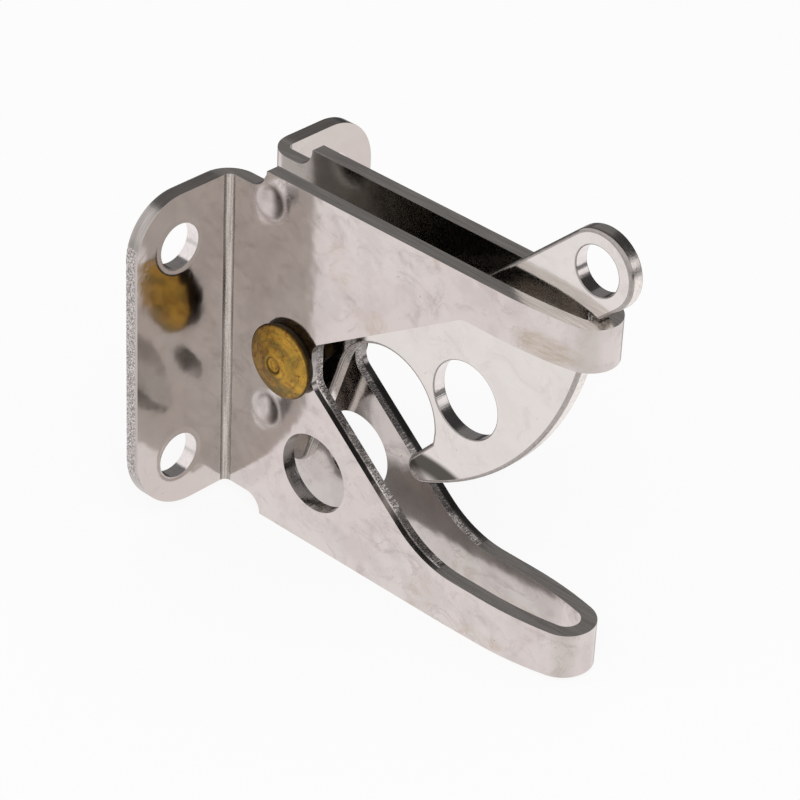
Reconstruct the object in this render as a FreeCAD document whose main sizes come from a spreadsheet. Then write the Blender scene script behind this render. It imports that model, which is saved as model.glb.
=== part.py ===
import FreeCAD, Part
import Sketcher
import math
import os

Vector = FreeCAD.Vector

# Gate latch: a folded sheet bracket screws to the gate post and carries a
# swinging latch plate on one rivet. The striker bar pushes up the hook,
# drops into the eye and is held there until the tab is lifted.
# Frame: +Z up, the back of the flanges is the plane y = 0, the bracket
# stands out towards -Y, and x = 0 is the middle of the slot. The origin is
# the centre of the four screw holes.

# Driving sizes in millimetres
SIZES = {
    # sheet and slot
    "sheet": 2.5,
    "slot_gap": 7.3,
    "bend_inside": 1.2,
    "bend_outside": 5.0,
    "projection": 75.5,
    "nose_round": 4.9,
    "nose_flank": 62.5,
    # flanges and their screw holes
    "flange_width": 19.3,
    "flange_height": 56.8,
    "corner_top": 9.3,
    "corner_low": 11.5,
    "screw_side_edge": 8.85,
    "screw_end_edge": 9.1,
    "screw_hole": 7.8,
    # cheeks above and below the flanges
    "cheek_above": 3.5,
    "cheek_below": 3.1,
    "shoulder": 10.5,
    # open jaw between the upper and the lower nose
    "throat_depth": 21.3,
    "throat_top": 5.5,
    "throat_low": -1.8,
    "throat_round": 3.0,
    "upper_nose": 7.7,
    "lower_nose": 8.7,
    "ramp_top_reach": 51.6,
    "ramp_low_reach": 45.9,
    "ramp_top_round": 3.0,
    "ramp_low_round": 18.0,
    "chin_rise": 0.95,
    "chin_run": 30.0,
    "brow_fall": 0.5,
    "brow_run": 15.0,
    # padlock hole through both cheeks
    "shackle_reach": 22.4,
    "shackle_drop": 17.7,
    "shackle_hole": 13.6,
    # dimples that guide the latch plate
    "dimple_reach": 11.3,
    "dimple_sunk": 5.0,
    "dimple_spacing": 37.6,
    "dimple_width": 6.6,
    "dimple_depth": 1.8,
    "dimple_shoulder": 1.4,
    "dimple_root": 0.2,
    # rivet
    "pivot_reach": 15.8,
    "pivot_up": 0.7,
    "shank": 6.0,
    "seat_fit": 0.05,
    "turning_fit": 0.1,
    "head_base": 11.8,
    "head_rim": 12.8,
    "head_wall": 1.5,
    "head_height": 3.1,
    "crown": 3.8,
    "crown_pit": 2.4,
    "pit_depth": 0.4,
    "crown_lip": 3.1,
    "tail_head": 10.4,
    "tail_crown": 5.2,
    "tail_wall": 0.7,
    "tail_height": 1.7,
    # latch plate, from its pivot
    "plate": 2.5,
    "boss_round": 9.5,
    "eye_forward": 16.8,
    "eye_drop": 2.9,
    "eye_round": 10.2,
    "lip_angle": 12.0,
    "lip_forward": 24.3,
    "lip_drop": 11.0,
    "lip_round": 2.3,
    "sweep_round": 49.0,
    "nose_gap": 1.2,
    "stop_gap": 0.1,
    "kicker_back": 2.7,
    "kicker_drop": 19.6,
    "kicker_round": 3.0,
    "arm_forward": 29.3,
    "arm_sunk": 8.2,
    "arm_blend": 20.0,
    "tab_inset": 3.4,
    "tab_rise": 7.6,
    "tab_round": 6.5,
    "tab_hole": 8.0,
    "window_forward": 33.1,
    "window_up": 5.9,
    "window_hole": 13.0,
}

# Cuts run this far past the metal they go through
OVERRUN = 5.0

doc = FreeCAD.newDocument("gate_latch")
sheet = doc.addObject("Spreadsheet::Sheet", "Sizes")
for row, (name, value) in enumerate(SIZES.items(), start=1):
    sheet.set("A%d" % row, name)
    sheet.set("B%d" % row, "%g" % value)
    sheet.setAlias("B%d" % row, name)
doc.recompute()


def size(name):
    return float(sheet.get(name))


def bind(target, path, formula):
    # names in the formula written as <name> stand for cells of the sheet
    target.setExpression(path, formula.replace("<", "Sizes.").replace(">", ""))


def origin_part(body, role):
    return next(item for item in body.Origin.OriginFeatures if item.Role == role)


def new_body(label):
    body = doc.addObject("PartDesign::Body", label)
    body.Label = label
    return body


def new_sketch(body, name, role):
    sketch = body.newObject("Sketcher::SketchObject", name)
    sketch.AttachmentSupport = [(origin_part(body, role), "")]
    sketch.MapMode = "FlatFace"
    return sketch


class Outline:
    """A closed run of lines and arcs drawn into a sketch."""

    def __init__(self, sketch, start):
        self.sketch = sketch
        self.first = Vector(start[0], start[1], 0)
        self.here = self.first
        self.ends = []

    def line(self, point):
        point = Vector(point[0], point[1], 0)
        if point.distanceToPoint(self.here) < 1e-7:
            return
        index = self.sketch.addGeometry(Part.LineSegment(self.here, point), False)
        self.ends.append((index, 1, 2))
        self.here = point

    def arc(self, centre, end, turn):
        # turn is +1 for anticlockwise and -1 for clockwise
        centre = Vector(centre[0], centre[1], 0)
        end = Vector(end[0], end[1], 0)
        first, last = (self.here, end) if turn > 0 else (end, self.here)
        low = math.atan2(first.y - centre.y, first.x - centre.x)
        high = math.atan2(last.y - centre.y, last.x - centre.x)
        if high <= low:
            high += 2 * math.pi
        circle = Part.Circle(centre, Vector(0, 0, 1), first.distanceToPoint(centre))
        index = self.sketch.addGeometry(Part.ArcOfCircle(circle, low, high), False)
        self.ends.append((index, 1, 2) if turn > 0 else (index, 2, 1))
        self.here = end

    def corner(self, point, following, radius):
        # rounds the corner at point on the way to the following point
        point = Vector(point[0], point[1], 0)
        away = (self.here - point).normalize()
        onward = (Vector(following[0], following[1], 0) - point).normalize()
        half_angle = away.getAngle(onward) / 2
        reach = radius / math.tan(half_angle)
        middle = (away + onward).normalize() * (radius / math.sin(half_angle)) + point
        turn = 1 if away.cross(onward).z < 0 else -1
        self.line(point + away * reach)
        self.arc(middle, point + onward * reach, turn)

    def close(self):
        self.line(self.first)
        for position, (index, begin, finish) in enumerate(self.ends):
            following = self.ends[(position + 1) % len(self.ends)]
            joined = Sketcher.Constraint("Coincident", index, finish, following[0], following[1])
            self.sketch.addConstraint(joined)


def add_circle(sketch, across, up, diameter):
    # across, up and diameter are formulas in the sheet's names
    index = sketch.addGeometry(Part.Circle(Vector(1, 1, 0), Vector(0, 0, 1), 1), False)
    for kind, formula in (("DistanceX", across), ("DistanceY", up)):
        limit = sketch.addConstraint(Sketcher.Constraint(kind, -1, 1, index, 3, 1.0))
        bind(sketch, "Constraints[%d]" % limit, formula)
    limit = sketch.addConstraint(Sketcher.Constraint("Diameter", index, 2.0))
    bind(sketch, "Constraints[%d]" % limit, diameter)


def cut_through(body, sketch, name):
    before = body.Shape.Volume
    pocket = body.newObject("PartDesign::Pocket", name)
    pocket.Profile = sketch
    pocket.Type = "ThroughAll"
    pocket.SideType = "Symmetric"
    doc.recompute()
    if not body.Shape.Volume < before - 1e-3:
        raise RuntimeError(name + " cuts nothing")
    return pocket


def tangent(centre_a, radius_a, turn_a, centre_b, radius_b, turn_b):
    # the straight run that leaves circle a and joins circle b, each taken
    # with turn +1 anticlockwise or -1 clockwise; a point has radius 0
    span_x = centre_b[0] - centre_a[0]
    span_y = centre_b[1] - centre_a[1]
    lean = (turn_b * radius_b - turn_a * radius_a) / math.hypot(span_x, span_y)
    normal = math.atan2(span_y, span_x) + math.acos(lean)
    side_x = math.cos(normal)
    side_y = math.sin(normal)
    leave = (centre_a[0] - turn_a * radius_a * side_x, centre_a[1] - turn_a * radius_a * side_y)
    join = (centre_b[0] - turn_b * radius_b * side_x, centre_b[1] - turn_b * radius_b * side_y)
    return leave, join


# Bracket: one strip folded round a nose, with a flange on each side. The
# cheeks draw together in long arcs before they meet in the round nose.
gap_half = size("slot_gap") / 2
body_half = gap_half + size("sheet")
bend_in = size("bend_inside")
bend_out = size("bend_outside")
sheet_t = size("sheet")
tip_y = -size("projection")
nose_r = size("nose_round")
nose_y = tip_y + nose_r
flank_r = size("nose_flank")
flank_x = flank_r - body_half
flank_y = nose_y + math.sqrt((flank_r - nose_r) ** 2 - flank_x ** 2)
flange_end = body_half + size("flange_width")
bend_x = body_half + bend_in
bend_y = -(sheet_t + bend_in)
back_x = gap_half + bend_out
cheek_top = size("flange_height") / 2 + size("cheek_above")
cheek_low = -(size("flange_height") / 2 + size("cheek_below"))



def nose_join(inset, side):
    # where the long arc of one cheek runs into the round of the nose
    reach = (nose_r - inset) / (flank_r - nose_r)
    return side * reach * flank_x, nose_y - reach * (flank_y - nose_y)


bracket = new_body("bracket")
plan = new_sketch(bracket, "StripPlan", "XY_Plane")
bind(plan, "AttachmentOffset.Base.z", "-(<flange_height> / 2 + <cheek_below>)")
strip = Outline(plan, (-flange_end, 0))
strip.line((-flange_end, -sheet_t))
strip.line((-bend_x, -sheet_t))
strip.arc((-bend_x, bend_y), (-body_half, bend_y), -1)
strip.line((-body_half, flank_y))
strip.arc((flank_x, flank_y), nose_join(0, -1), 1)
strip.arc((0, nose_y), nose_join(0, 1), 1)
strip.arc((-flank_x, flank_y), (body_half, flank_y), 1)
strip.line((body_half, bend_y))
strip.arc((bend_x, bend_y), (bend_x, -sheet_t), -1)
strip.line((flange_end, -sheet_t))
strip.line((flange_end, 0))
strip.line((back_x, 0))
strip.arc((back_x, -bend_out), (gap_half, -bend_out), 1)
strip.line((gap_half, flank_y))
strip.arc((-flank_x, flank_y), nose_join(sheet_t, 1), -1)
strip.arc((0, nose_y), nose_join(sheet_t, -1), -1)
strip.arc((flank_x, flank_y), (-gap_half, flank_y), -1)
strip.line((-gap_half, -bend_out))
strip.arc((-back_x, -bend_out), (-back_x, 0), 1)
strip.close()
fold = bracket.newObject("PartDesign::Pad", "FoldedStrip")
fold.Profile = plan
bind(fold, "Length", "<flange_height> + <cheek_above> + <cheek_below>")
doc.recompute()

# Jaw: the window between the upper and the lower nose, open to the front
clear_y = -(size("projection") + OVERRUN)
throat_y = -size("throat_depth")
jaw_top = cheek_top - size("upper_nose")
jaw_low = cheek_low + size("lower_nose")
throat_top = (throat_y, size("throat_top"))
throat_low = (throat_y, size("throat_low"))
ramp_top = (-size("ramp_top_reach"), jaw_top)
ramp_low = (-size("ramp_low_reach"), jaw_low)
jaw_sketch = new_sketch(bracket, "JawSide", "YZ_Plane")
jaw = Outline(jaw_sketch, (clear_y, jaw_low))
jaw.corner(ramp_low, throat_low, size("ramp_low_round"))
jaw.corner(throat_low, throat_top, size("throat_round"))
jaw.corner(throat_top, ramp_top, size("throat_round"))
jaw.corner(ramp_top, (clear_y, jaw_top), size("ramp_top_round"))
jaw.line((clear_y, jaw_top))
jaw.close()
cut_through(bracket, jaw_sketch, "Jaw")

# Chin: the underside of the lower nose rises a little towards its tip
chin_y = tip_y + size("chin_run")
chin_r = (size("chin_run") ** 2 + size("chin_rise") ** 2) / (2 * size("chin_rise"))
chin_z = cheek_low + chin_r
chin_sketch = new_sketch(bracket, "ChinSide", "YZ_Plane")
chin = Outline(chin_sketch, (chin_y, cheek_low))
chin.arc((chin_y, chin_z), (clear_y, chin_z - math.sqrt(chin_r ** 2 - (clear_y - chin_y) ** 2)), -1)
chin.line((clear_y, cheek_low))
chin.close()
cut_through(bracket, chin_sketch, "Chin")

# Brow: the top of the upper nose falls a little towards its tip
brow_y = tip_y + size("brow_run")
brow_r = (size("brow_run") ** 2 + size("brow_fall") ** 2) / (2 * size("brow_fall"))


def brow_top(y):
    return cheek_top - brow_r + math.sqrt(brow_r ** 2 - (y - brow_y) ** 2)


brow_sketch = new_sketch(bracket, "BrowSide", "YZ_Plane")
brow = Outline(brow_sketch, (brow_y, cheek_top))
brow.arc((brow_y, cheek_top - brow_r), (clear_y, brow_top(clear_y)), 1)
brow.line((clear_y, cheek_top))
brow.close()
cut_through(bracket, brow_sketch, "Brow")

# Scoops: the flanges are lower than the cheeks, joined by a hollow quarter round
for name, edge, rise in (("TopScoop", 1, "cheek_above"), ("LowScoop", -1, "cheek_below")):
    flange_edge = edge * size("flange_height") / 2
    cheek_edge = flange_edge + edge * size(rise)
    shoulder_y = -size("shoulder")
    hollow_y = shoulder_y + size(rise)
    scoop_sketch = new_sketch(bracket, name + "Side", "YZ_Plane")
    scoop = Outline(scoop_sketch, (OVERRUN, flange_edge))
    scoop.line((hollow_y, flange_edge))
    scoop.arc((hollow_y, cheek_edge), (shoulder_y, cheek_edge), -edge)
    scoop.line((shoulder_y, cheek_edge + edge * OVERRUN))
    scoop.line((OVERRUN, cheek_edge + edge * OVERRUN))
    scoop.close()
    cut_through(bracket, scoop_sketch, name)

# Screw holes, two in each flange
screw_sketch = new_sketch(bracket, "ScrewFace", "XZ_Plane")
for across in (-1, 1):
    for up in (-1, 1):
        side = "%d * (<slot_gap> / 2 + <sheet> + <flange_width> - <screw_side_edge>)" % across
        end = "%d * (<flange_height> / 2 - <screw_end_edge>)" % up
        add_circle(screw_sketch, side, end, "<screw_hole>")
cut_through(bracket, screw_sketch, "ScrewHoles")

# Padlock hole and rivet hole through both cheeks
shackle_sketch = new_sketch(bracket, "ShackleSide", "YZ_Plane")
add_circle(shackle_sketch, "-<shackle_reach>", "-<shackle_drop>", "<shackle_hole>")
cut_through(bracket, shackle_sketch, "ShackleHole")
rivet_sketch = new_sketch(bracket, "RivetSide", "YZ_Plane")
add_circle(rivet_sketch, "-<pivot_reach>", "<pivot_up>", "<shank> + 2 * <seat_fit>")
cut_through(bracket, rivet_sketch, "RivetHole")

# Round outer corners of the flanges, larger below than above
for name, upward, rounding in (("TopCorners", 1, "corner_top"), ("LowCorners", -1, "corner_low")):
    round_edges = []
    for number, edge in enumerate(bracket.Shape.Edges, start=1):
        box = edge.BoundBox
        at_end = abs(abs(edge.CenterOfMass.x) - flange_end) < 1e-4
        through = box.YLength > sheet_t - 1e-4 and box.ZLength < 1e-4
        if at_end and through and upward * edge.CenterOfMass.z > 0:
            round_edges.append("Edge%d" % number)
    square_flanges = bracket.Tip
    corners = bracket.newObject("PartDesign::Fillet", name)
    corners.Base = (square_flanges, round_edges)
    bind(corners, "Radius", "<%s>" % rounding)
    doc.recompute()

# Dimples: two in the front cheek, pressed from outside, so that each has a
# rounded shoulder there and shows as a boss inside the slot
dent_half = size("dimple_width") / 2
dent = size("dimple_depth")
shoulder_r = size("dimple_shoulder")
dent_round = (dent_half ** 2 + dent ** 2) / (2 * dent) - shoulder_r
dent_x = -body_half + dent - dent_round
shoulder_x = -body_half + shoulder_r
rim_share = dent_round / (dent_round + shoulder_r)
rim = (dent_x + rim_share * (shoulder_x - dent_x), rim_share * dent_half)
boss_round = dent_round + sheet_t
boss_root = -gap_half - size("dimple_root")
boss_half = math.sqrt(boss_round ** 2 - (boss_root - dent_x) ** 2)
boss_sketch = new_sketch(bracket, "DimpleBossHalf", "XY_Plane")
dent_sketch = new_sketch(bracket, "DimpleHollowHalf", "XY_Plane")
for half_sketch in (boss_sketch, dent_sketch):
    bind(half_sketch, "AttachmentOffset.Base.y", "-<dimple_reach>")
    bind(half_sketch, "AttachmentOffset.Base.z", "<flange_height> / 2 + <cheek_above> - <dimple_sunk>")
boss = Outline(boss_sketch, (boss_root, 0))
boss.line((dent_x + boss_round, 0))
boss.arc((dent_x, 0), (boss_root, boss_half), 1)
boss.close()
hollow = Outline(dent_sketch, (-body_half - dent, 0))
hollow.line((dent_x + dent_round, 0))
hollow.arc((dent_x, 0), rim, 1)
hollow.arc((shoulder_x, dent_half), (-body_half, dent_half), -1)
hollow.line((-body_half - dent, dent_half))
hollow.close()
pressed = bracket.newObject("PartDesign::Revolution", "DimpleBoss")
pressed.Profile = boss_sketch
pressed.ReferenceAxis = (boss_sketch, ["H_Axis"])
pressed.Angle = 360
doc.recompute()
whole = bracket.Shape.Volume
hollowed = bracket.newObject("PartDesign::Groove", "DimpleHollow")
hollowed.Profile = dent_sketch
hollowed.ReferenceAxis = (dent_sketch, ["H_Axis"])
hollowed.Angle = 360
doc.recompute()
if not bracket.Shape.Volume < whole - 1e-3:
    raise RuntimeError("DimpleHollow cuts nothing")
down = bracket.newObject("PartDesign::LinearPattern", "DimplesDown")
down.Originals = [pressed, hollowed]
down.Direction = (origin_part(bracket, "Z_Axis"), [""])
down.Reversed = True
bind(down, "Length", "<dimple_spacing>")
down.Occurrences = 2
bracket.Tip = down
doc.recompute()

# Latch plate: drawn about its pivot, y forward is negative
boss_r = size("boss_round")
eye = (-size("eye_forward"), -size("eye_drop"))
eye_r = size("eye_round")
lip = (-size("lip_forward"), -size("lip_drop"))
lip_r = size("lip_round")
kicker = (size("kicker_back"), -size("kicker_drop"))
kicker_r = size("kicker_round")
edge_z = cheek_top - size("pivot_up")
arm = (-size("arm_forward"), edge_z - size("arm_sunk"))
tab = (-(size("projection") - size("tab_inset") - size("pivot_reach")), edge_z + size("tab_rise"))
tab_r = size("tab_round")
sweep_r = size("sweep_round")
front_y = -(size("projection") - sheet_t - size("nose_gap") - size("pivot_reach"))
land_z = brow_top(front_y - size("pivot_reach")) - size("pivot_up") + size("stop_gap")

# the sweep touches the front line and runs into the lip
sweep_y = front_y + sweep_r
sweep_z = lip[1] + math.sqrt((sweep_r - lip_r) ** 2 - (lip[0] - sweep_y) ** 2)
sweep = (sweep_y, sweep_z)
land_in = (sweep_y - math.sqrt(sweep_r ** 2 - (land_z - sweep_z) ** 2), land_z)
lip_way = math.atan2(lip[1] - sweep_z, lip[0] - sweep_y)
lip_start = (lip[0] + lip_r * math.cos(lip_way), lip[1] + lip_r * math.sin(lip_way))
lip_turn = math.radians(180 + size("lip_angle"))
eye_start = (eye[0] + eye_r * math.cos(lip_turn), eye[1] + eye_r * math.sin(lip_turn))
lip_end, touch = tangent(lip, lip_r, 1, eye_start, 0, 1)
eye_end, kicker_start = tangent(eye, eye_r, -1, kicker, kicker_r, 1)
kicker_end, boss_start = tangent(kicker, kicker_r, 1, (0, 0), boss_r, 1)
boss_end, arm_root = tangent((0, 0), boss_r, 1, arm, 0, 1)
arm_away, tab_start = tangent(arm, 0, 1, tab, tab_r, 1)

# the tab's lower edge runs parallel to its upper edge down to the stop land
slope = math.atan2(tab_start[1] - arm[1], tab_start[0] - arm[0])
tab_end = (2 * tab[0] - tab_start[0], 2 * tab[1] - tab_start[1])
run = (land_z - tab_end[1]) / math.tan(slope)
land_out = (tab_end[0] + run, land_z)

latch_plate = new_body("latch_plate")
plate_sketch = new_sketch(latch_plate, "PlateSide", "YZ_Plane")
edge = Outline(plate_sketch, boss_start)
edge.arc((0, 0), boss_end, 1)
edge.corner(arm, tab_start, size("arm_blend"))
edge.line(tab_start)
edge.arc(tab, tab_end, 1)
edge.line(land_out)
edge.line(land_in)
edge.arc(sweep, lip_start, 1)
edge.arc(lip, lip_end, 1)
edge.line(eye_start)
edge.arc(eye, eye_end, -1)
edge.line(kicker_start)
edge.arc(kicker, kicker_end, 1)
edge.close()
blank = latch_plate.newObject("PartDesign::Pad", "PlateBlank")
blank.Profile = plate_sketch
blank.SideType = "Symmetric"
bind(blank, "Length", "<plate>")
doc.recompute()

hole_sketch = new_sketch(latch_plate, "PlateHoles", "YZ_Plane")
add_circle(hole_sketch, "0", "0", "<shank> + 2 * <turning_fit>")
tab_across = "-(<projection> - <tab_inset> - <pivot_reach>)"
tab_height = "<flange_height> / 2 + <cheek_above> - <pivot_up> + <tab_rise>"
add_circle(hole_sketch, tab_across, tab_height, "<tab_hole>")
add_circle(hole_sketch, "-<window_forward>", "<window_up>", "<window_hole>")
cut_through(latch_plate, hole_sketch, "PlateHoleSet")
bind(latch_plate, "Placement.Base.y", "-<pivot_reach>")
bind(latch_plate, "Placement.Base.z", "<pivot_up>")

# Rivet: turned about the pivot, coned head in front and set head behind
rivet = new_body("pivot_rivet")
rivet_half = new_sketch(rivet, "RivetHalf", "XY_Plane")
shank_r = size("shank") / 2
head_x = -body_half
crown_x = head_x - size("head_height")
crown_r = size("crown") / 2
pit_r = size("crown_pit") / 2
pit_x = crown_x + size("pit_depth")
tail_x = body_half
turned = Outline(rivet_half, (pit_x, 0))
turned.line((tail_x + size("tail_height"), 0))
turned.line((tail_x + size("tail_height"), size("tail_crown") / 2))
turned.line((tail_x + size("tail_wall"), size("tail_head") / 2))
turned.line((tail_x, size("tail_head") / 2))
turned.line((tail_x, shank_r))
turned.line((head_x, shank_r))
turned.line((head_x, size("head_base") / 2))
turned.line((head_x - size("head_wall"), size("head_rim") / 2))
turned.line((crown_x, crown_r))
turned.line((crown_x, size("crown_lip") / 2))
turned.line((pit_x, pit_r))
turned.close()
turning = rivet.newObject("PartDesign::Revolution", "RivetTurned")
turning.Profile = rivet_half
turning.ReferenceAxis = (rivet_half, ["H_Axis"])
turning.Angle = 360
bind(rivet, "Placement.Base.y", "-<pivot_reach>")
bind(rivet, "Placement.Base.z", "<pivot_up>")
doc.recompute()

# Every object is sound before anything is written
for item in doc.Objects:
    if "Invalid" in item.State or "Error" in item.State:
        raise RuntimeError(item.Name + " failed: " + ", ".join(item.State))
pieces = [item for item in doc.Objects if item.isDerivedFrom("PartDesign::Body")]
os.makedirs("parts", exist_ok=True)
for piece in pieces:
    if piece.Shape.isNull() or not piece.Shape.isValid() or len(piece.Shape.Solids) != 1:
        raise RuntimeError(piece.Label + " is not one sound solid")
for piece in pieces:
    piece.Shape.exportStep("parts/" + piece.Label + ".step")
    print(piece.Label, round(piece.Shape.Volume, 2), piece.Shape.BoundBox)
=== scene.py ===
import bmesh
import bpy
import math
from mathutils import Matrix, Vector


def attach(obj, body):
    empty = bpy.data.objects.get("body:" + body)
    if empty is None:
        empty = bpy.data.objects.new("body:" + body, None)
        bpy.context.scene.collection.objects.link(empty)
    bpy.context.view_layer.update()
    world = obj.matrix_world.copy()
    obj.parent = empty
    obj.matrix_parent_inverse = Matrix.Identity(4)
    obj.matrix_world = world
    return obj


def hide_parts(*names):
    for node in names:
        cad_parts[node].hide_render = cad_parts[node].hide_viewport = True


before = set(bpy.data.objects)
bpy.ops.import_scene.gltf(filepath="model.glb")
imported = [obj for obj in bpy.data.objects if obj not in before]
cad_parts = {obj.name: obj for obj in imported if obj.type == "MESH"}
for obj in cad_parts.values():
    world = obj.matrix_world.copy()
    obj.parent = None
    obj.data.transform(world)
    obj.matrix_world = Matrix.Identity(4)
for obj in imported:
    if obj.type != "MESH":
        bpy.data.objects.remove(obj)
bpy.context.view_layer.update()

MM = 0.001

# Sizes and places of the CAD, in millimetres: X across the bracket, Y back to the post, Z up
SHEET = 2.5
CHEEK_FACE = 6.15
SLOT_WALL = 3.65
NOSE_START = -58.6
FLANGE_FROM = 8.0
SHEARED_FROM = 25.0
THROAT = -21.3
JAW_LOW = -22.8
JAW_TOP = 24.2
PIVOT = Vector((0.0, -15.8, 0.7))
SHANK_ROUND = 3.0

# The bends seen from above: centre (x, y) and radius of the inner and the outer side
BEND_INSIDE = (Vector((7.35, -3.7)), 1.2)
BEND_OUTSIDE = (Vector((8.65, -5.0)), 5.0)

# Holes: centre and radius; the screw hole by (x, z) in one quarter, the others by (y, z)
SCREW_HOLE = (Vector((16.6, 19.3)), 3.9)
PADLOCK_HOLE = (Vector((-22.4, -17.7)), 6.8)
TAB_HOLE = (Vector((-72.1, 39.5)), 4.0)
WINDOW_HOLE = (Vector((-48.9, 6.6)), 6.5)

# The dimples of the front cheek, by (y, z)
DIMPLES = (Vector((-11.3, 26.9)), Vector((-11.3, -10.7)))
DIMPLE_HALF = 4.0


class Value:
    """A number that changes over a surface, used in sums as plain Python."""

    def __init__(self, nodes, socket):
        self.nodes = nodes
        self.socket = socket

    def output(self, name):
        # another output of the node that this value comes from
        return Value(self.nodes, self.socket.node.outputs[name])

    def _maths(self, operation, first, second):
        return self.nodes.node("ShaderNodeMath", {"operation": operation}, {0: first, 1: second})

    def __add__(self, other):
        return self._maths("ADD", self, other)

    def __radd__(self, other):
        return self._maths("ADD", other, self)

    def __sub__(self, other):
        return self._maths("SUBTRACT", self, other)

    def __rsub__(self, other):
        return self._maths("SUBTRACT", other, self)

    def __mul__(self, other):
        return self._maths("MULTIPLY", self, other)

    def __rmul__(self, other):
        return self._maths("MULTIPLY", other, self)

    def __truediv__(self, other):
        return self._maths("DIVIDE", self, other)

    def __pow__(self, other):
        return self._maths("POWER", self, other)

    def __abs__(self):
        return self._maths("ABSOLUTE", self, 0.0)

    def larger(self, other):
        return self._maths("MAXIMUM", self, other)


class Nodes:
    """A node tree being built up, for a finish or for the studio round the object."""

    def __init__(self, tree):
        self.tree = tree
        self.tree.nodes.clear()

    def feed(self, socket, value):
        if isinstance(value, Value):
            self.tree.links.new(value.socket, socket)
        else:
            socket.default_value = value

    def node(self, kind, settings=None, inputs=None, output=0):
        made = self.tree.nodes.new(kind)
        for name, setting in (settings or {}).items():
            setattr(made, name, setting)
        for name, value in (inputs or {}).items():
            self.feed(made.inputs[name], value)
        return Value(self, made.outputs[output]) if len(made.outputs) else None

    def noise(self, vector, scale, detail=3.0, roughness=0.55, distortion=0.0):
        return self.node("ShaderNodeTexNoise", {"noise_dimensions": "3D"},
                         {"Vector": vector, "Scale": scale, "Detail": detail,
                          "Roughness": roughness, "Distortion": distortion})

    def step(self, value, low, high):
        # 0 below low, 1 above high, smooth between
        return self.node("ShaderNodeMapRange", {"interpolation_type": "SMOOTHSTEP"},
                         {"Value": value, "From Min": low, "From Max": high,
                          "To Min": 0.0, "To Max": 1.0})

    def mix(self, share, first, second):
        return self.node("ShaderNodeMix", {"data_type": "RGBA"},
                         {0: share, 6: first, 7: second}, output=2)

    def layered(self, colour, layers):
        # each layer is a share of the surface and the colour that covers it
        for share, cover in layers:
            colour = self.mix(share, colour, cover)
        return colour

    def tint(self, colour, shade):
        # a colour made lighter or darker by a value round 1
        grey = self.node("ShaderNodeCombineColor", {}, {0: shade, 1: shade, 2: shade})
        return self.node("ShaderNodeMix", {"data_type": "RGBA", "blend_type": "MULTIPLY"},
                         {0: 1.0, 6: colour, 7: grey}, output=2)

    def axes(self, vector):
        parts = self.node("ShaderNodeSeparateXYZ", {}, {0: vector})
        return [parts.output(axis) for axis in "XYZ"]


class Finish(Nodes):
    """A metal finish being built up from nodes, in the millimetres of the object."""

    def __init__(self, name):
        self.material = bpy.data.materials.new(name)
        self.material.use_nodes = True
        super().__init__(self.material.node_tree)
        self.surface = self.node("ShaderNodeBsdfPrincipled", {}, {"Metallic": 1.0})
        self.node("ShaderNodeOutputMaterial", {}, {"Surface": self.surface})
        self.object_point = self.node("ShaderNodeTexCoord", output="Object")
        self.point = self.stretched(1.0, 1.0, 1.0)

    def stretched(self, along_x, along_y, along_z):
        # a small number along an axis draws a pattern out along it
        scale = (along_x / MM, along_y / MM, along_z / MM)
        return self.node("ShaderNodeVectorMath", {"operation": "MULTIPLY"},
                         {0: self.object_point, 1: scale})

    def made(self, colour, roughness, relief, depth):
        """Gives the material; depth is that of the relief, in millimetres."""
        normal = self.node("ShaderNodeBump", {},
                           {"Height": relief, "Distance": depth * MM, "Strength": 1.0})
        sockets = self.surface.socket.node.inputs
        self.feed(sockets["Base Color"], colour)
        self.feed(sockets["Roughness"], roughness)
        self.feed(sockets["Normal"], normal)
        return self.material


# Colours of the steel
STEEL_WARM = (0.660, 0.608, 0.588, 1.0)
STEEL_PALE = (0.685, 0.652, 0.626, 1.0)
PLATE_WARM = (0.735, 0.705, 0.675, 1.0)
PLATE_PALE = (0.75, 0.735, 0.705, 1.0)
STEEL_FILM = (0.56, 0.49, 0.43, 1.0)
STEEL_GREY = (0.45, 0.405, 0.385, 1.0)
STEEL_STAIN = (0.44, 0.385, 0.30, 1.0)
STEEL_DARK = (0.22, 0.20, 0.185, 1.0)
# painted dark, for the shade round the hook's lip and the dark reflection in the dimples
STEEL_PAINTED_DARK = (0.085, 0.080, 0.070, 1.0)
STEEL_FLANGE_TONE = (0.22, 0.20, 0.12, 1.0)
# painted shade in the slot
STEEL_SLOT_SHADE = (0.14, 0.150, 0.120, 1.0)
STEEL_SLIT = (0.60, 0.575, 0.545, 1.0)
STEEL_TORN = (0.62, 0.59, 0.57, 1.0)
STEEL_BENT = (0.70, 0.65, 0.605, 1.0)
STEEL_BURNISHED = (0.80, 0.775, 0.755, 1.0)
STEEL_ROLLED = (0.42, 0.40, 0.38, 1.0)

# Colours of the brass
BRASS_GOLD = (0.56, 0.33, 0.055, 1.0)
BRASS_OLIVE = (0.22, 0.155, 0.042, 1.0)
BRASS_BROWN = (0.26, 0.095, 0.030, 1.0)
BRASS_BLACK = (0.016, 0.011, 0.007, 1.0)

# Ellipses on the front cheek and on the plate: y, z, half width, half height
STAIN = (-67.2, 26.2, 6.5, 2.6)
RUBBED = ((-26.5, 22.0, 3.2, 4.5), (-33.5, 15.5, 4.0, 2.5), (-46.5, -28.6, 3.0, 4.5),
          (-58.0, -30.0, 7.0, 1.6), (-46.5, 33.0, 3.5, 2.2))
HOOK_LIP = (-41.5, -13.0, 12.5, 5.9)
DIMPLE_PRESSED = [(middle.x, middle.y, DIMPLE_HALF, DIMPLE_HALF) for middle in DIMPLES]
# Painted dark reflection lies in the side of each dimple that is turned away from the bend
DARK_SIDE_OUT = 1.1
DARK_SIDE_UP = 0.3
DIMPLE_PAINTED_DARK_SIDE = [(middle.x - DARK_SIDE_OUT, middle.y + DARK_SIDE_UP, 2.3, 3.0) for middle in DIMPLES]

# Stretches over which one look gives way to the next, in millimetres

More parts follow.
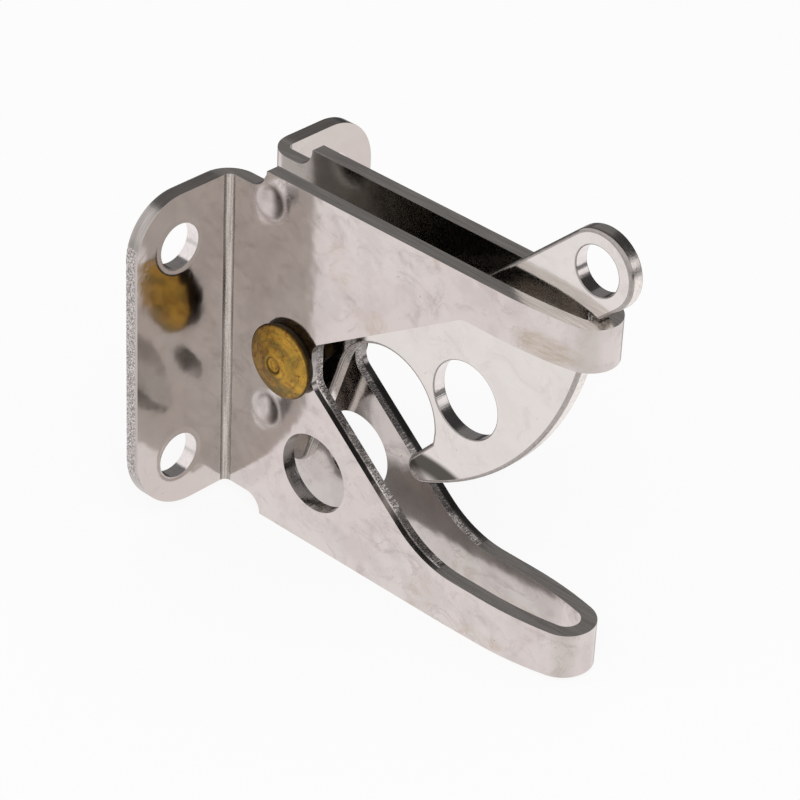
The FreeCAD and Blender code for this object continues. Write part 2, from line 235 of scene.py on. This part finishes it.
# By the distance from the middle plane
SLOT_FACES = (3.72, 3.95)
PUNCH_BREAK = (4.8, 5.2)
CHEEK_SIDE = (6.16, 6.26)
HANDLED_END = (6.3, 7.2)
FLANGE_SIDE = (6.70, 7.05)
ACROSS_BEND = (7.0, 9.0)
FLANGE_START = (7.3, 7.9)

# By X
RIVET_UNDERSIDE = (-7.75, -7.35)
FRONT_CHEEK = (-4.0, -3.0)
PLATE_FRONT = (-0.9, 0.0)

# By Y
NOSE_OUTSIDE = (-69.0, -64.0)
BEHIND_PLATE_HOLES = (-32.0, -31.0)
SHEAR_BREAK = (-2.2, -1.7)

# By Z
SLOT_HEIGHT = (-10.0, 8.0)

# By the distance from the middle of a screw hole or of the rivet
SCREW_DISH = (3.7, 5.1)
RIVET_WALL = (6.00, 6.28)
RIVET_PIT = 1.35
RIVET_PIT_HALF = 0.30


def polished_steel(name, warm, pale, film, slot_shade_and_dull, lip_shade):
    """Rolled and polished sheet: bright, slightly wavy, with smears, fine marks and stains.

    From 0 to 1, film is how handled the sheet is; the second share is how much shade is painted
    into the slot, which is made duller there too, and the last how much shade is painted round
    the rolled lip of the hook.
    """
    finish = Finish(name)
    point = finish.point
    x, y, z = finish.axes(point)

    def from_middle(place):
        # 0 in the middle of an ellipse, 1 on its outline
        off_y = (y - place[0]) / place[2]
        off_z = (z - place[1]) / place[3]
        return off_y * off_y + off_z * off_z

    def patches(places):
        return sum(1.0 - finish.step(from_middle(place), 0.25, 1.15) for place in places)

    # the cheeks are handled and marked, the flanges hardly
    marks = film * (0.25 + 0.75 * (1.0 - finish.step(abs(x), *HANDLED_END)))
    broad = finish.noise(point, scale=0.05, roughness=0.6, distortion=0.6)
    cloud = finish.noise(point, scale=0.20, detail=5.0, roughness=0.6, distortion=0.25)
    smear_point = finish.stretched(1.0, 1.0, 1.5)
    smear = finish.noise(smear_point, scale=0.15, detail=6.0, roughness=0.66, distortion=1.3)
    smears = finish.step(smear, 0.50, 0.74)
    vein_field = finish.noise(point, scale=0.10, detail=6.0, roughness=0.62, distortion=1.0)
    vein_zone = finish.step(finish.noise(point, scale=0.07, detail=2.0, roughness=0.5), 0.46, 0.62)
    veins = (1.0 - finish.step(abs(vein_field - 0.5), 0.0, 0.020)) * vein_zone
    streak_point = finish.stretched(1.0, 0.30, 2.2)
    streak = finish.noise(streak_point, scale=0.9, detail=5.0, roughness=0.7, distortion=0.4)
    streaks = finish.step(streak, 0.56, 0.72)
    specks = finish.step(finish.noise(point, scale=1.1, detail=2.0, roughness=0.5), 0.745, 0.79)

    # marks that have their own places
    rubbed = patches(RUBBED) * finish.step(smear, 0.40, 0.62)
    stain = patches([STAIN]) * (0.45 + 0.55 * finish.step(streak, 0.40, 0.66))
    front_cheek = 1.0 - finish.step(x, *FRONT_CHEEK)
    dimple = patches(DIMPLE_PRESSED) * front_cheek
    # painted dark reflection on the side of each dimple turned away from the bend
    dimple_dark_side = patches(DIMPLE_PAINTED_DARK_SIDE) * front_cheek
    # painted shade round the rolled lip of the hook on the plate: a dark ring, lighter inside it
    from_lip = from_middle(HOOK_LIP) ** 0.5
    lip_dark = 0.30 + 0.70 * finish.step(from_lip, 0.28, 0.60)
    lip = lip_dark * (1.0 - finish.step(from_lip, 0.92, 1.12)) * (1.0 - finish.step(x, *PLATE_FRONT))
    # painted shade in the slot, deeper towards its top; the slot is also made rougher there
    slot_faces = (1.0 - finish.step(abs(x), *SLOT_FACES)) * finish.step(y, *NOSE_OUTSIDE)
    inside = slot_faces * (0.40 + 0.60 * finish.step(z, *SLOT_HEIGHT))
    # the flanges a little darker and yellower
    flange = finish.step(abs(x), *FLANGE_START)

    colour = finish.mix(finish.step(broad, 0.38, 0.64), warm, pale)
    colour = finish.tint(colour, 1.0 - 0.09 * marks * finish.step(cloud, 0.42, 0.62))
    colour = finish.layered(colour, (
        (smears * (0.66 * marks), STEEL_GREY),
        (veins * (0.46 * marks), STEEL_GREY),
        (rubbed * (0.75 * film), STEEL_FILM),
        (stain * (0.80 * film), STEEL_STAIN),
        (streaks * (0.10 * marks), STEEL_GREY),
        (specks * (0.75 * film), STEEL_DARK),
        (dimple_dark_side * 0.85, STEEL_PAINTED_DARK),
        (lip * lip_shade, STEEL_PAINTED_DARK),
        (inside * slot_shade_and_dull, STEEL_SLOT_SHADE),
        (flange * (0.12 * film), STEEL_FLANGE_TONE),
    ))
    roughness = 0.095 + 0.03 * broad + film * (0.06 * smears + 0.06 * veins + 0.06 * stain)
    roughness = roughness + 0.32 * dimple + 0.10 * slot_shade_and_dull * inside

    # the sheet is drawn in a little round the screw holes
    off_x = abs(x) - SCREW_HOLE[0].x
    off_z = abs(z) - SCREW_HOLE[0].y
    dished = 1.0 - finish.step((off_x * off_x + off_z * off_z) ** 0.5, *SCREW_DISH)
    wave = finish.noise(point, scale=0.12, detail=2.0, roughness=0.5)
    grain = finish.noise(point, scale=1.7, roughness=0.6)
    relief = wave + film * (0.012 * grain - 0.01 * (veins + specks)) - 0.90 * film * dished
    return finish.made(colour, roughness, relief, depth=0.15)


def slit_edge(name, light=1.0):
    """The strip's long edges: smoothly slit, with fine lines along the strip."""
    finish = Finish(name)
    x, _, _ = finish.axes(finish.point)
    flange = finish.step(abs(x), *ACROSS_BEND)
    # the lines follow the strip: outwards along the cheeks, round the outline on the flanges
    cheek_line = finish.noise(finish.stretched(2.6, 0.12, 2.6), scale=0.9, detail=4.0, roughness=0.65)
    flange_line = finish.noise(finish.stretched(0.12, 2.6, 0.12), scale=0.9, detail=4.0, roughness=0.65)
    line = cheek_line * (1.0 - flange) + flange_line * flange
    broad = finish.noise(finish.point, scale=0.10, detail=2.0, roughness=0.5)
    grain = finish.noise(finish.point, scale=3.0, roughness=0.6)
    shade = light * (0.30 + 1.25 * line + 0.35 * broad + 0.12 * grain) * (1.0 - 0.38 * flange)
    colour = finish.tint(STEEL_SLIT, shade)
    return finish.made(colour, 0.16 + 0.14 * line, grain + 0.9 * line, depth=0.014)


def punched_edge(name):
    """Edges left by the punch: smooth by the outer face, scored and torn in the middle of the sheet."""
    finish = Finish(name)
    x, _, _ = finish.axes(finish.point)
    score = finish.noise(finish.stretched(0.30, 1.0, 1.0), scale=3.2, roughness=0.7)
    grain = finish.noise(finish.point, scale=4.5, roughness=0.7)
    along = finish.step(finish.noise(finish.point, scale=0.16, detail=2.0, roughness=0.5), 0.42, 0.56)
    rough_zone = (1.0 - finish.step(abs(x), *PUNCH_BREAK)) * (0.30 + 0.70 * along)
    tear = finish.step(score * 0.6 + grain * 0.4, 0.46, 0.56)
    shade = 0.42 + 0.35 * along + rough_zone * (1.15 * tear - 0.20)
    colour = finish.tint(STEEL_TORN, shade)
    relief = (score + 0.7 * grain) * (0.06 + rough_zone)
    return finish.made(colour, 0.14 + 0.22 * rough_zone * grain, relief, depth=0.24)


def sheared_edge(name):
    """The flanges' upright edges: evenly torn, with a fine bright grain."""
    finish = Finish(name)
    _, y, _ = finish.axes(finish.point)
    torn = finish.step(y, *SHEAR_BREAK)
    grain = finish.noise(finish.point, scale=3.8, roughness=0.75)
    line = finish.noise(finish.stretched(1.0, 1.0, 0.12), scale=2.0, detail=2.0, roughness=0.5)
    shade = 0.70 + torn * (0.75 * finish.step(grain, 0.46, 0.56) - 0.40) + 0.2 * line
    colour = finish.tint(STEEL_TORN, shade)
    return finish.made(colour, 0.18 + 0.22 * torn * grain, grain * (0.1 + torn), depth=0.07)


def bent_strip(name):
    """The inside of a bend, where the press has drawn the polish into upright streaks."""
    finish = Finish(name)
    x, _, _ = finish.axes(finish.point)
    streak = finish.noise(finish.stretched(3.0, 3.0, 0.07), scale=1.0, detail=4.0, roughness=0.7)
    grain = finish.noise(finish.stretched(1.6, 1.6, 0.9), scale=2.6, roughness=0.7)
    streaks = finish.step(streak, 0.36, 0.60)
    # painted shade: darker where the bend runs out on either side
    flange_side = finish.step(abs(x), *FLANGE_SIDE)
    cheek_side = 1.0 - finish.step(abs(x), *CHEEK_SIDE)
    bend_shade = (1.0 - 0.45 * flange_side) * (1.0 - 0.30 * cheek_side)
    colour = finish.tint(STEEL_BENT, (0.20 + 0.38 * streaks + 0.75 * grain) * bend_shade)
    return finish.made(colour, 0.16 + 0.20 * grain, grain + 0.8 * streak, depth=0.06)


def drawn_wall(name):
    """The wall of a punched hole: burnished by the punch, so it mirrors in sharp bands."""
    finish = Finish(name)
    x, y, _ = finish.axes(finish.point)
    score = finish.noise(finish.stretched(0.16, 1.3, 1.3), scale=1.4, roughness=0.6)
    ring = finish.noise(finish.stretched(2.4, 0.3, 0.3), scale=0.8, roughness=0.6)
    # painted shade: the padlock hole's wall is darker than the others
    padlock = finish.step(y, *BEHIND_PLATE_HOLES) * (1.0 - finish.step(abs(x), *ACROSS_BEND))
    shade = (0.72 + 0.30 * score + 0.22 * ring) * (1.0 - 0.50 * padlock)
    colour = finish.tint(STEEL_BURNISHED, shade)
    return finish.made(colour, 0.09 + 0.10 * score, score + 0.5 * ring, depth=0.03)


def rolled_rim(name):
    """The plate's rolled-over edge, duller than its faces."""
    finish = Finish(name)
    grain = finish.noise(finish.point, scale=1.6, roughness=0.6)
    colour = finish.tint(STEEL_ROLLED, 0.65 + 0.60 * grain)
    return finish.made(colour, 0.14 + 0.14 * grain, grain, depth=0.02)


def tarnished_brass(name):
    """Turned brass, gone olive and brown in patches; nearly black on the wall of the head and under it,
    partly from tarnish and partly from painted shade.
    """
    finish = Finish(name)
    x, y, z = finish.axes(finish.point)
    off_y = y - PIVOT.y
    off_z = z - PIVOT.z
    away = (off_y * off_y + off_z * off_z) ** 0.5
    broad = finish.noise(finish.point, scale=0.20, roughness=0.6, distortion=0.5)
    mottle = finish.noise(finish.point, scale=0.85, detail=5.0, roughness=0.66, distortion=0.9)
    fleck = finish.noise(finish.point, scale=2.4, roughness=0.6)
    # the turning tool's rings change a little on their way round
    ring_point = finish.node("ShaderNodeCombineXYZ", {}, {0: away, 1: 0.06 * off_y, 2: 0.06 * off_z})
    ring = finish.noise(ring_point, scale=2.2, roughness=0.6)
    pit = 1.0 - finish.step(abs(away - RIVET_PIT), 0.0, RIVET_PIT_HALF)
    # the head's wall, its underside, the shank and the set head go nearly black: partly tarnish, partly
    # painted shade
    wall = finish.step(away, *RIVET_WALL)
    underside = finish.step(x, *RIVET_UNDERSIDE)
    tarnish_and_shade = 1.0 - (1.0 - underside) * (1.0 - 0.85 * wall)
    colour = finish.mix(finish.step(broad, 0.36, 0.62), BRASS_GOLD, BRASS_OLIVE)
    colour = finish.layered(colour, (
        (finish.step(mottle, 0.50, 0.66) * 0.75, BRASS_BROWN),
        (finish.step(ring, 0.52, 0.64) * 0.55, BRASS_OLIVE),
        (finish.step(fleck, 0.60, 0.70) * 0.6, BRASS_BLACK),
        (pit * 0.75, BRASS_BLACK),
        (tarnish_and_shade * (0.86 + 0.2 * mottle), BRASS_BLACK),
    ))
    return finish.made(colour, 0.30 + 0.22 * mottle, mottle + 0.5 * fleck + 0.5 * ring, depth=0.11)


# Mesh work on copies of the CAD pieces
SHARP_ANGLE = math.radians(35.0)
FLAT_ANGLE = math.radians(0.3)
SAME_POINT = 0.0001 * MM


def copy_piece(node, name):
    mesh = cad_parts[node].data.copy()
    piece = bpy.data.objects.new(name, mesh)
    bpy.context.scene.collection.objects.link(piece)
    mesh.materials.clear()
    return piece


def tidy_faces(piece):
    """Joins the CAD's triangles into the flat faces that they came from."""
    shape = bmesh.new()
    shape.from_mesh(piece.data)
    bmesh.ops.remove_doubles(shape, verts=shape.verts, dist=SAME_POINT)
    bmesh.ops.dissolve_limit(shape, angle_limit=FLAT_ANGLE, use_dissolve_boundaries=False,
                             verts=shape.verts, edges=shape.edges)
    shape.to_mesh(piece.data)
    shape.free()


def paint_faces(piece, kind_of, finishes):
    """Gives each face the finish of its kind; finishes are kept by kind."""
    kinds = list(finishes)
    for material in finishes.values():
        piece.data.materials.append(material)
    for face in piece.data.polygons:
        face.material_index = kinds.index(kind_of(face.center / MM, face.normal))
        face.use_smooth = True


def roll_edges(piece, width, share_of, segments, finish):
    """Rounds every sharp edge in a finish; share_of gives each edge its share of the width."""
    piece.data.attributes.new("bevel_weight_edge", "FLOAT", "EDGE")
    shape = bmesh.new()
    shape.from_mesh(piece.data)
    layer = shape.edges.layers.float["bevel_weight_edge"]
    for edge in shape.edges:
        if len(edge.link_faces) == 2 and edge.calc_face_angle() > SHARP_ANGLE:
            middle = (edge.verts[0].co + edge.verts[1].co) / 2
            edge[layer] = share_of(middle / MM)
    shape.to_mesh(piece.data)
    shape.free()
    bevel = piece.modifiers.new("edges", "BEVEL")
    bevel.limit_method = "WEIGHT"
    bevel.width = width
    bevel.segments = segments
    bevel.material = list(piece.data.materials).index(finish)
    even = piece.modifiers.new("flat_faces", "WEIGHTED_NORMAL")
    even.mode = "FACE_AREA"
    even.weight = 50
    even.thresh = 0.0


def turn_piece(name, profile, steps, material):
    """A piece turned about the pivot's axis; profile is (x, radius) in millimetres."""
    shape = bmesh.new()
    rings = []
    for x, radius in profile:
        ring = []
        for step in range(steps if radius > 0 else 1):
            way = 2 * math.pi * step / steps
            point = Vector((x, PIVOT.y + radius * math.cos(way), PIVOT.z + radius * math.sin(way)))
            ring.append(shape.verts.new(point * MM))
        rings.append(ring)
    for near_ring, far_ring in zip(rings, rings[1:]):
        for step in range(steps):
            corners = [near_ring[step % len(near_ring)], near_ring[(step + 1) % len(near_ring)],
                       far_ring[(step + 1) % len(far_ring)], far_ring[step % len(far_ring)]]
            shape.faces.new(list(dict.fromkeys(corners)))
    bmesh.ops.recalc_face_normals(shape, faces=shape.faces)
    mesh = bpy.data.meshes.new(name)
    shape.to_mesh(mesh)
    shape.free()
    mesh.materials.append(material)
    for face in mesh.polygons:
        face.use_smooth = True
    piece = bpy.data.objects.new(name, mesh)
    bpy.context.scene.collection.objects.link(piece)
    return piece


# Which face is which; places are in millimetres
ON_PLANE = 0.05
ON_ROUND = 0.12
JAW_MARGIN = 0.5

# Share of a face's normal that runs along an axis: above the first it faces that way, above
# the second nearly so, and below the third it stands square to it
FACING = 0.999
NEARLY_FACING = 0.98
SQUARE = 0.02


def near(value, wanted, reach=ON_PLANE):
    return abs(value - wanted) < reach


def on_circle(place, circle):
    centre, radius = circle
    return near((place - centre).length, radius, ON_ROUND)


def on_bend(plan, circle):
    return on_circle(plan, circle) and plan.x < circle[0].x


def in_dimple(x, side):
    return x < 0 and any((side - middle).length < DIMPLE_HALF for middle in DIMPLES)


def bracket_face_kind(middle, normal):
    x, y, z = middle
    across = abs(x)
    plan = Vector((across, y))
    side = Vector((y, z))
    along_x, along_y, along_z = [abs(part) for part in normal]
    upright = along_z < SQUARE
    on_cheek = along_x > FACING and (near(across, CHEEK_FACE) or near(across, SLOT_WALL))
    on_flange = along_y > FACING and (near(y, 0.0) or near(y, -SHEET)) and across > CHEEK_FACE
    on_nose = upright and y < NOSE_START
    if upright and on_bend(plan, BEND_INSIDE):
        return "bend"
    if on_cheek or on_flange or on_nose or (upright and on_bend(plan, BEND_OUTSIDE)):
        return "skin"
    if in_dimple(x, side) and along_x > SQUARE:
        return "skin"
    if along_y < SQUARE and on_circle(Vector((across, abs(z))), SCREW_HOLE):
        return "wall"
    if along_x < SQUARE and on_circle(side, PADLOCK_HOLE):
        return "wall"
    if along_z > NEARLY_FACING:
        return "slit"
    if across > SHEARED_FROM:
        return "sheared"
    if y < THROAT + JAW_MARGIN and JAW_LOW - JAW_MARGIN < z < JAW_TOP + JAW_MARGIN:
        return "punched"
    return "slit"


def on_plate_hole(middle):
    side = Vector((middle.y, middle.z))
    return on_circle(side, TAB_HOLE) or on_circle(side, WINDOW_HOLE)


def plate_face_kind(middle, normal):
    if abs(normal.x) > FACING:
        return "skin"
    return "wall" if on_plate_hole(middle) else "slit"


def bracket_rolling(middle):
    # the press rolled the outer faces over more than the inner ones
    outside_cheek = abs(middle.x) > CHEEK_FACE - 0.15 and middle.y < -SHEET - 0.1
    front_of_flange = abs(middle.x) > FLANGE_FROM and middle.y < -SHEET + 0.1
    return 1.0 if outside_cheek or front_of_flange else 0.55


def plate_rolling(middle):
    if on_plate_hole(middle):
        return 0.35
    return 1.0 if middle.x < 0 else 0.4


# The finishes
skin = polished_steel("polished_steel", STEEL_WARM, STEEL_PALE,
                      film=1.0, slot_shade_and_dull=0.50, lip_shade=0.0)
plate_skin = polished_steel("polished_plate_steel", PLATE_WARM, PLATE_PALE,
                            film=0.35, slot_shade_and_dull=0.0, lip_shade=1.0)
slit = slit_edge("slit_edge")
plate_edge = slit_edge("plate_edge", light=1.15)
rim = rolled_rim("rolled_rim")
punched = punched_edge("punched_edge")
sheared = sheared_edge("sheared_edge")
bend = bent_strip("bent_strip")
wall = drawn_wall("drawn_wall")
brass = tarnished_brass("tarnished_brass")

# The bracket
BRACKET_ROLL = 0.32 * MM
bracket = copy_piece("bracket", "folded_bracket")
tidy_faces(bracket)
paint_faces(bracket, bracket_face_kind, {"skin": skin, "slit": slit, "punched": punched,
                                         "bend": bend, "wall": wall, "sheared": sheared})
roll_edges(bracket, BRACKET_ROLL, bracket_rolling, segments=3, finish=skin)
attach(bracket, "post_side")
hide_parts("bracket")

# The latch plate
PLATE_ROLL = 0.80 * MM
plate = copy_piece("latch_plate", "swinging_plate")
tidy_faces(plate)
paint_faces(plate, plate_face_kind, {"skin": plate_skin, "slit": plate_edge, "rim": rim, "wall": wall})
roll_edges(plate, PLATE_ROLL, plate_rolling, segments=6, finish=rim)
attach(plate, "plate")
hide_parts("latch_plate")

# The rivet: crown with its pit and ring, coned face, rim, underside, shank and set head
RIVET_STEPS = 96
RIVET_PROFILE = [
    (-8.85, 0.0), (-8.86, 0.9), (-8.97, 1.25), (-9.18, 1.45), (-9.25, 1.62), (-9.24, 1.8), (-9.16, 2.0),
    (-8.9, 2.9), (-8.45, 4.3), (-7.98, 5.6),
    (-7.86, 5.95), (-7.76, 6.2), (-7.6, 6.36), (-7.4, 6.38),
    (-6.35, 5.97), (-6.2, 5.9), (-CHEEK_FACE, 5.8),
    (-CHEEK_FACE, SHANK_ROUND), (CHEEK_FACE, SHANK_ROUND),
    (CHEEK_FACE, 5.0), (6.25, 5.15), (6.75, 5.2), (6.9, 5.1),
    (7.6, 3.2), (7.8, 2.5), (7.85, 1.8), (7.85, 0.0),
]
rivet = turn_piece("brass_rivet", RIVET_PROFILE, RIVET_STEPS, brass)
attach(rivet, "post_side")
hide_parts("pivot_rivet")


# Camera, at the photograph's angle
CAMERA_AZIMUTH = math.radians(-47.6802)
CAMERA_ELEVATION = math.radians(32.9557)
CAMERA_ROLL = math.radians(2.7887)
CAMERA_DISTANCE = 547.132 * MM
CAMERA_ACROSS = 24.8593 * MM
CAMERA_UP = -14.5074 * MM
CAMERA_LENS = 154.039
CAMERA_SENSOR = 36.0
CAMERA_NEAREST = 10.0 * MM

back = Vector((math.sin(CAMERA_AZIMUTH) * math.cos(CAMERA_ELEVATION),
               -math.cos(CAMERA_AZIMUTH) * math.cos(CAMERA_ELEVATION),
               math.sin(CAMERA_ELEVATION)))
level_right = Vector((math.cos(CAMERA_AZIMUTH), math.sin(CAMERA_AZIMUTH), 0.0))
level_up = back.cross(level_right)
right = level_right * math.cos(CAMERA_ROLL) + level_up * math.sin(CAMERA_ROLL)
up = level_up * math.cos(CAMERA_ROLL) - level_right * math.sin(CAMERA_ROLL)
camera_place = right * CAMERA_ACROSS + up * CAMERA_UP + back * CAMERA_DISTANCE
camera = bpy.data.objects.new("camera", bpy.data.cameras.new("camera"))
camera.data.lens = CAMERA_LENS
camera.data.sensor_width = CAMERA_SENSOR
camera.data.clip_start = CAMERA_NEAREST
camera.matrix_world = Matrix.Translation(camera_place) @ Matrix((right, up, back)).transposed().to_4x4()
bpy.context.scene.collection.objects.link(camera)
bpy.context.scene.camera = camera


# Floor
FLOOR_LEVEL = -31.6 * MM
FLOOR_HALF = 1.5
FLOOR_MATT = (0.86, 0.86, 0.86, 1.0)
FLOOR_LIT = 0.12
WHITE = (1.0, 1.0, 1.0, 1.0)


def floor_material(name):
    """White to the camera and in reflections; its lit share keeps the object's shadow."""
    material = bpy.data.materials.new(name)
    material.use_nodes = True
    nodes = Nodes(material.node_tree)
    rays = nodes.node("ShaderNodeLightPath", output="Is Camera Ray")
    seen = rays.larger(rays.output("Is Glossy Ray")).larger(rays.output("Is Transmission Ray"))
    matt = nodes.node("ShaderNodeBsdfDiffuse", {}, {"Color": FLOOR_MATT})
    glow = nodes.node("ShaderNodeEmission", {}, {"Color": WHITE})
    both = nodes.node("ShaderNodeMixShader", {}, {0: seen * (1.0 - FLOOR_LIT), 1: matt, 2: glow})
    nodes.node("ShaderNodeOutputMaterial", {}, {"Surface": both})
    return material


def square_board(name, half, level, material):
    mesh = bpy.data.meshes.new(name)
    corners = [(-half, -half, level), (half, -half, level), (half, half, level), (-half, half, level)]
    mesh.from_pydata(corners, [], [(0, 1, 2, 3)])
    mesh.materials.append(material)
    board = bpy.data.objects.new(name, mesh)
    bpy.context.scene.collection.objects.link(board)
    return board


floor = square_board("floor", FLOOR_HALF, FLOOR_LEVEL, floor_material("floor_white"))
floor.visible_glossy = False

# The studio as the metal sees it: white paper, a greyer table towards the camera, a dimmer
# wall behind the object, a dim line where the room begins, and a dark cloth with a fold in it
PAPER = (1.0, 0.955, 0.96, 1.0)
TABLE = (0.83, 0.80, 0.785, 1.0)
DAYLIGHT = (0.75, 0.75, 0.75, 1.0)
CLOTH_WAY = (0.72, 0.30, 0.62)
FOLD_WAY = (0.72, -0.25, 0.65)
BEHIND_WAY = (0.743, 0.669, 0.0)
TABLE_WAY = (-0.74, -0.674, 0.0)
ROOM_LINE = -0.07

world = bpy.data.worlds.new("studio")
bpy.context.scene.world = world
world.use_nodes = True
studio = Nodes(world.node_tree)
way_x, way_y, way_z = studio.axes(studio.node("ShaderNodeTexCoord", output="Generated"))


def towards(way, low, high):
    # 1 where a ray leans to this way, 0 where it leaves it, smooth between
    return studio.step(way[0] * way_x + way[1] * way_y + way[2] * way_z, low, high)


cloth = towards(CLOTH_WAY, 0.50, 0.64)
fold = towards(FOLD_WAY, 0.80, 0.93)
behind = towards(BEHIND_WAY, 0.62, 0.82)
table = towards(TABLE_WAY, 0.40, 0.95) * (1.0 - studio.step(way_z, -0.34, -0.16))
room_share = 0.30 + 0.70 * studio.step(way_x, -0.55, -0.15)
room = (1.0 - studio.step(abs(way_z - ROOM_LINE), 0.09, 0.18)) * room_share
level = (1.0 - 0.80 * room) * (1.0 - 0.82 * cloth) * (1.0 - 0.78 * fold)
level = level * (1.0 - 0.55 * behind * (1.0 - cloth))
glossy_light = studio.tint(studio.mix(table, PAPER, TABLE), level)
sky_rays = studio.node("ShaderNodeLightPath", output="Is Camera Ray")
shown = sky_rays.larger(sky_rays.output("Is Transmission Ray"))
light = studio.mix(sky_rays.output("Is Glossy Ray"), studio.mix(shown, DAYLIGHT, WHITE), glossy_light)
sky = studio.node("ShaderNodeBackground", {}, {"Color": light, "Strength": 1.0})
studio.node("ShaderNodeOutputWorld", {}, {"Surface": sky})

# Soft key lamp, above the camera
LAMP_PLACE = Vector((-0.5, -0.5, 0.7))
LAMP_AIM = Vector((0.0, -0.04, 0.0))
LAMP_SIZE = 0.5
LAMP_POWER = 3.0
lamp = bpy.data.objects.new("key_lamp", bpy.data.lights.new("key_lamp", "AREA"))
lamp.data.size = LAMP_SIZE
lamp.data.energy = LAMP_POWER
lamp.location = LAMP_PLACE
lamp.rotation_mode = "QUATERNION"
lamp.rotation_quaternion = (LAMP_PLACE - LAMP_AIM).to_track_quat("Z", "Y")
lamp.visible_glossy = False
bpy.context.scene.collection.objects.link(lamp)

bpy.context.scene.view_settings.view_transform = "Standard"
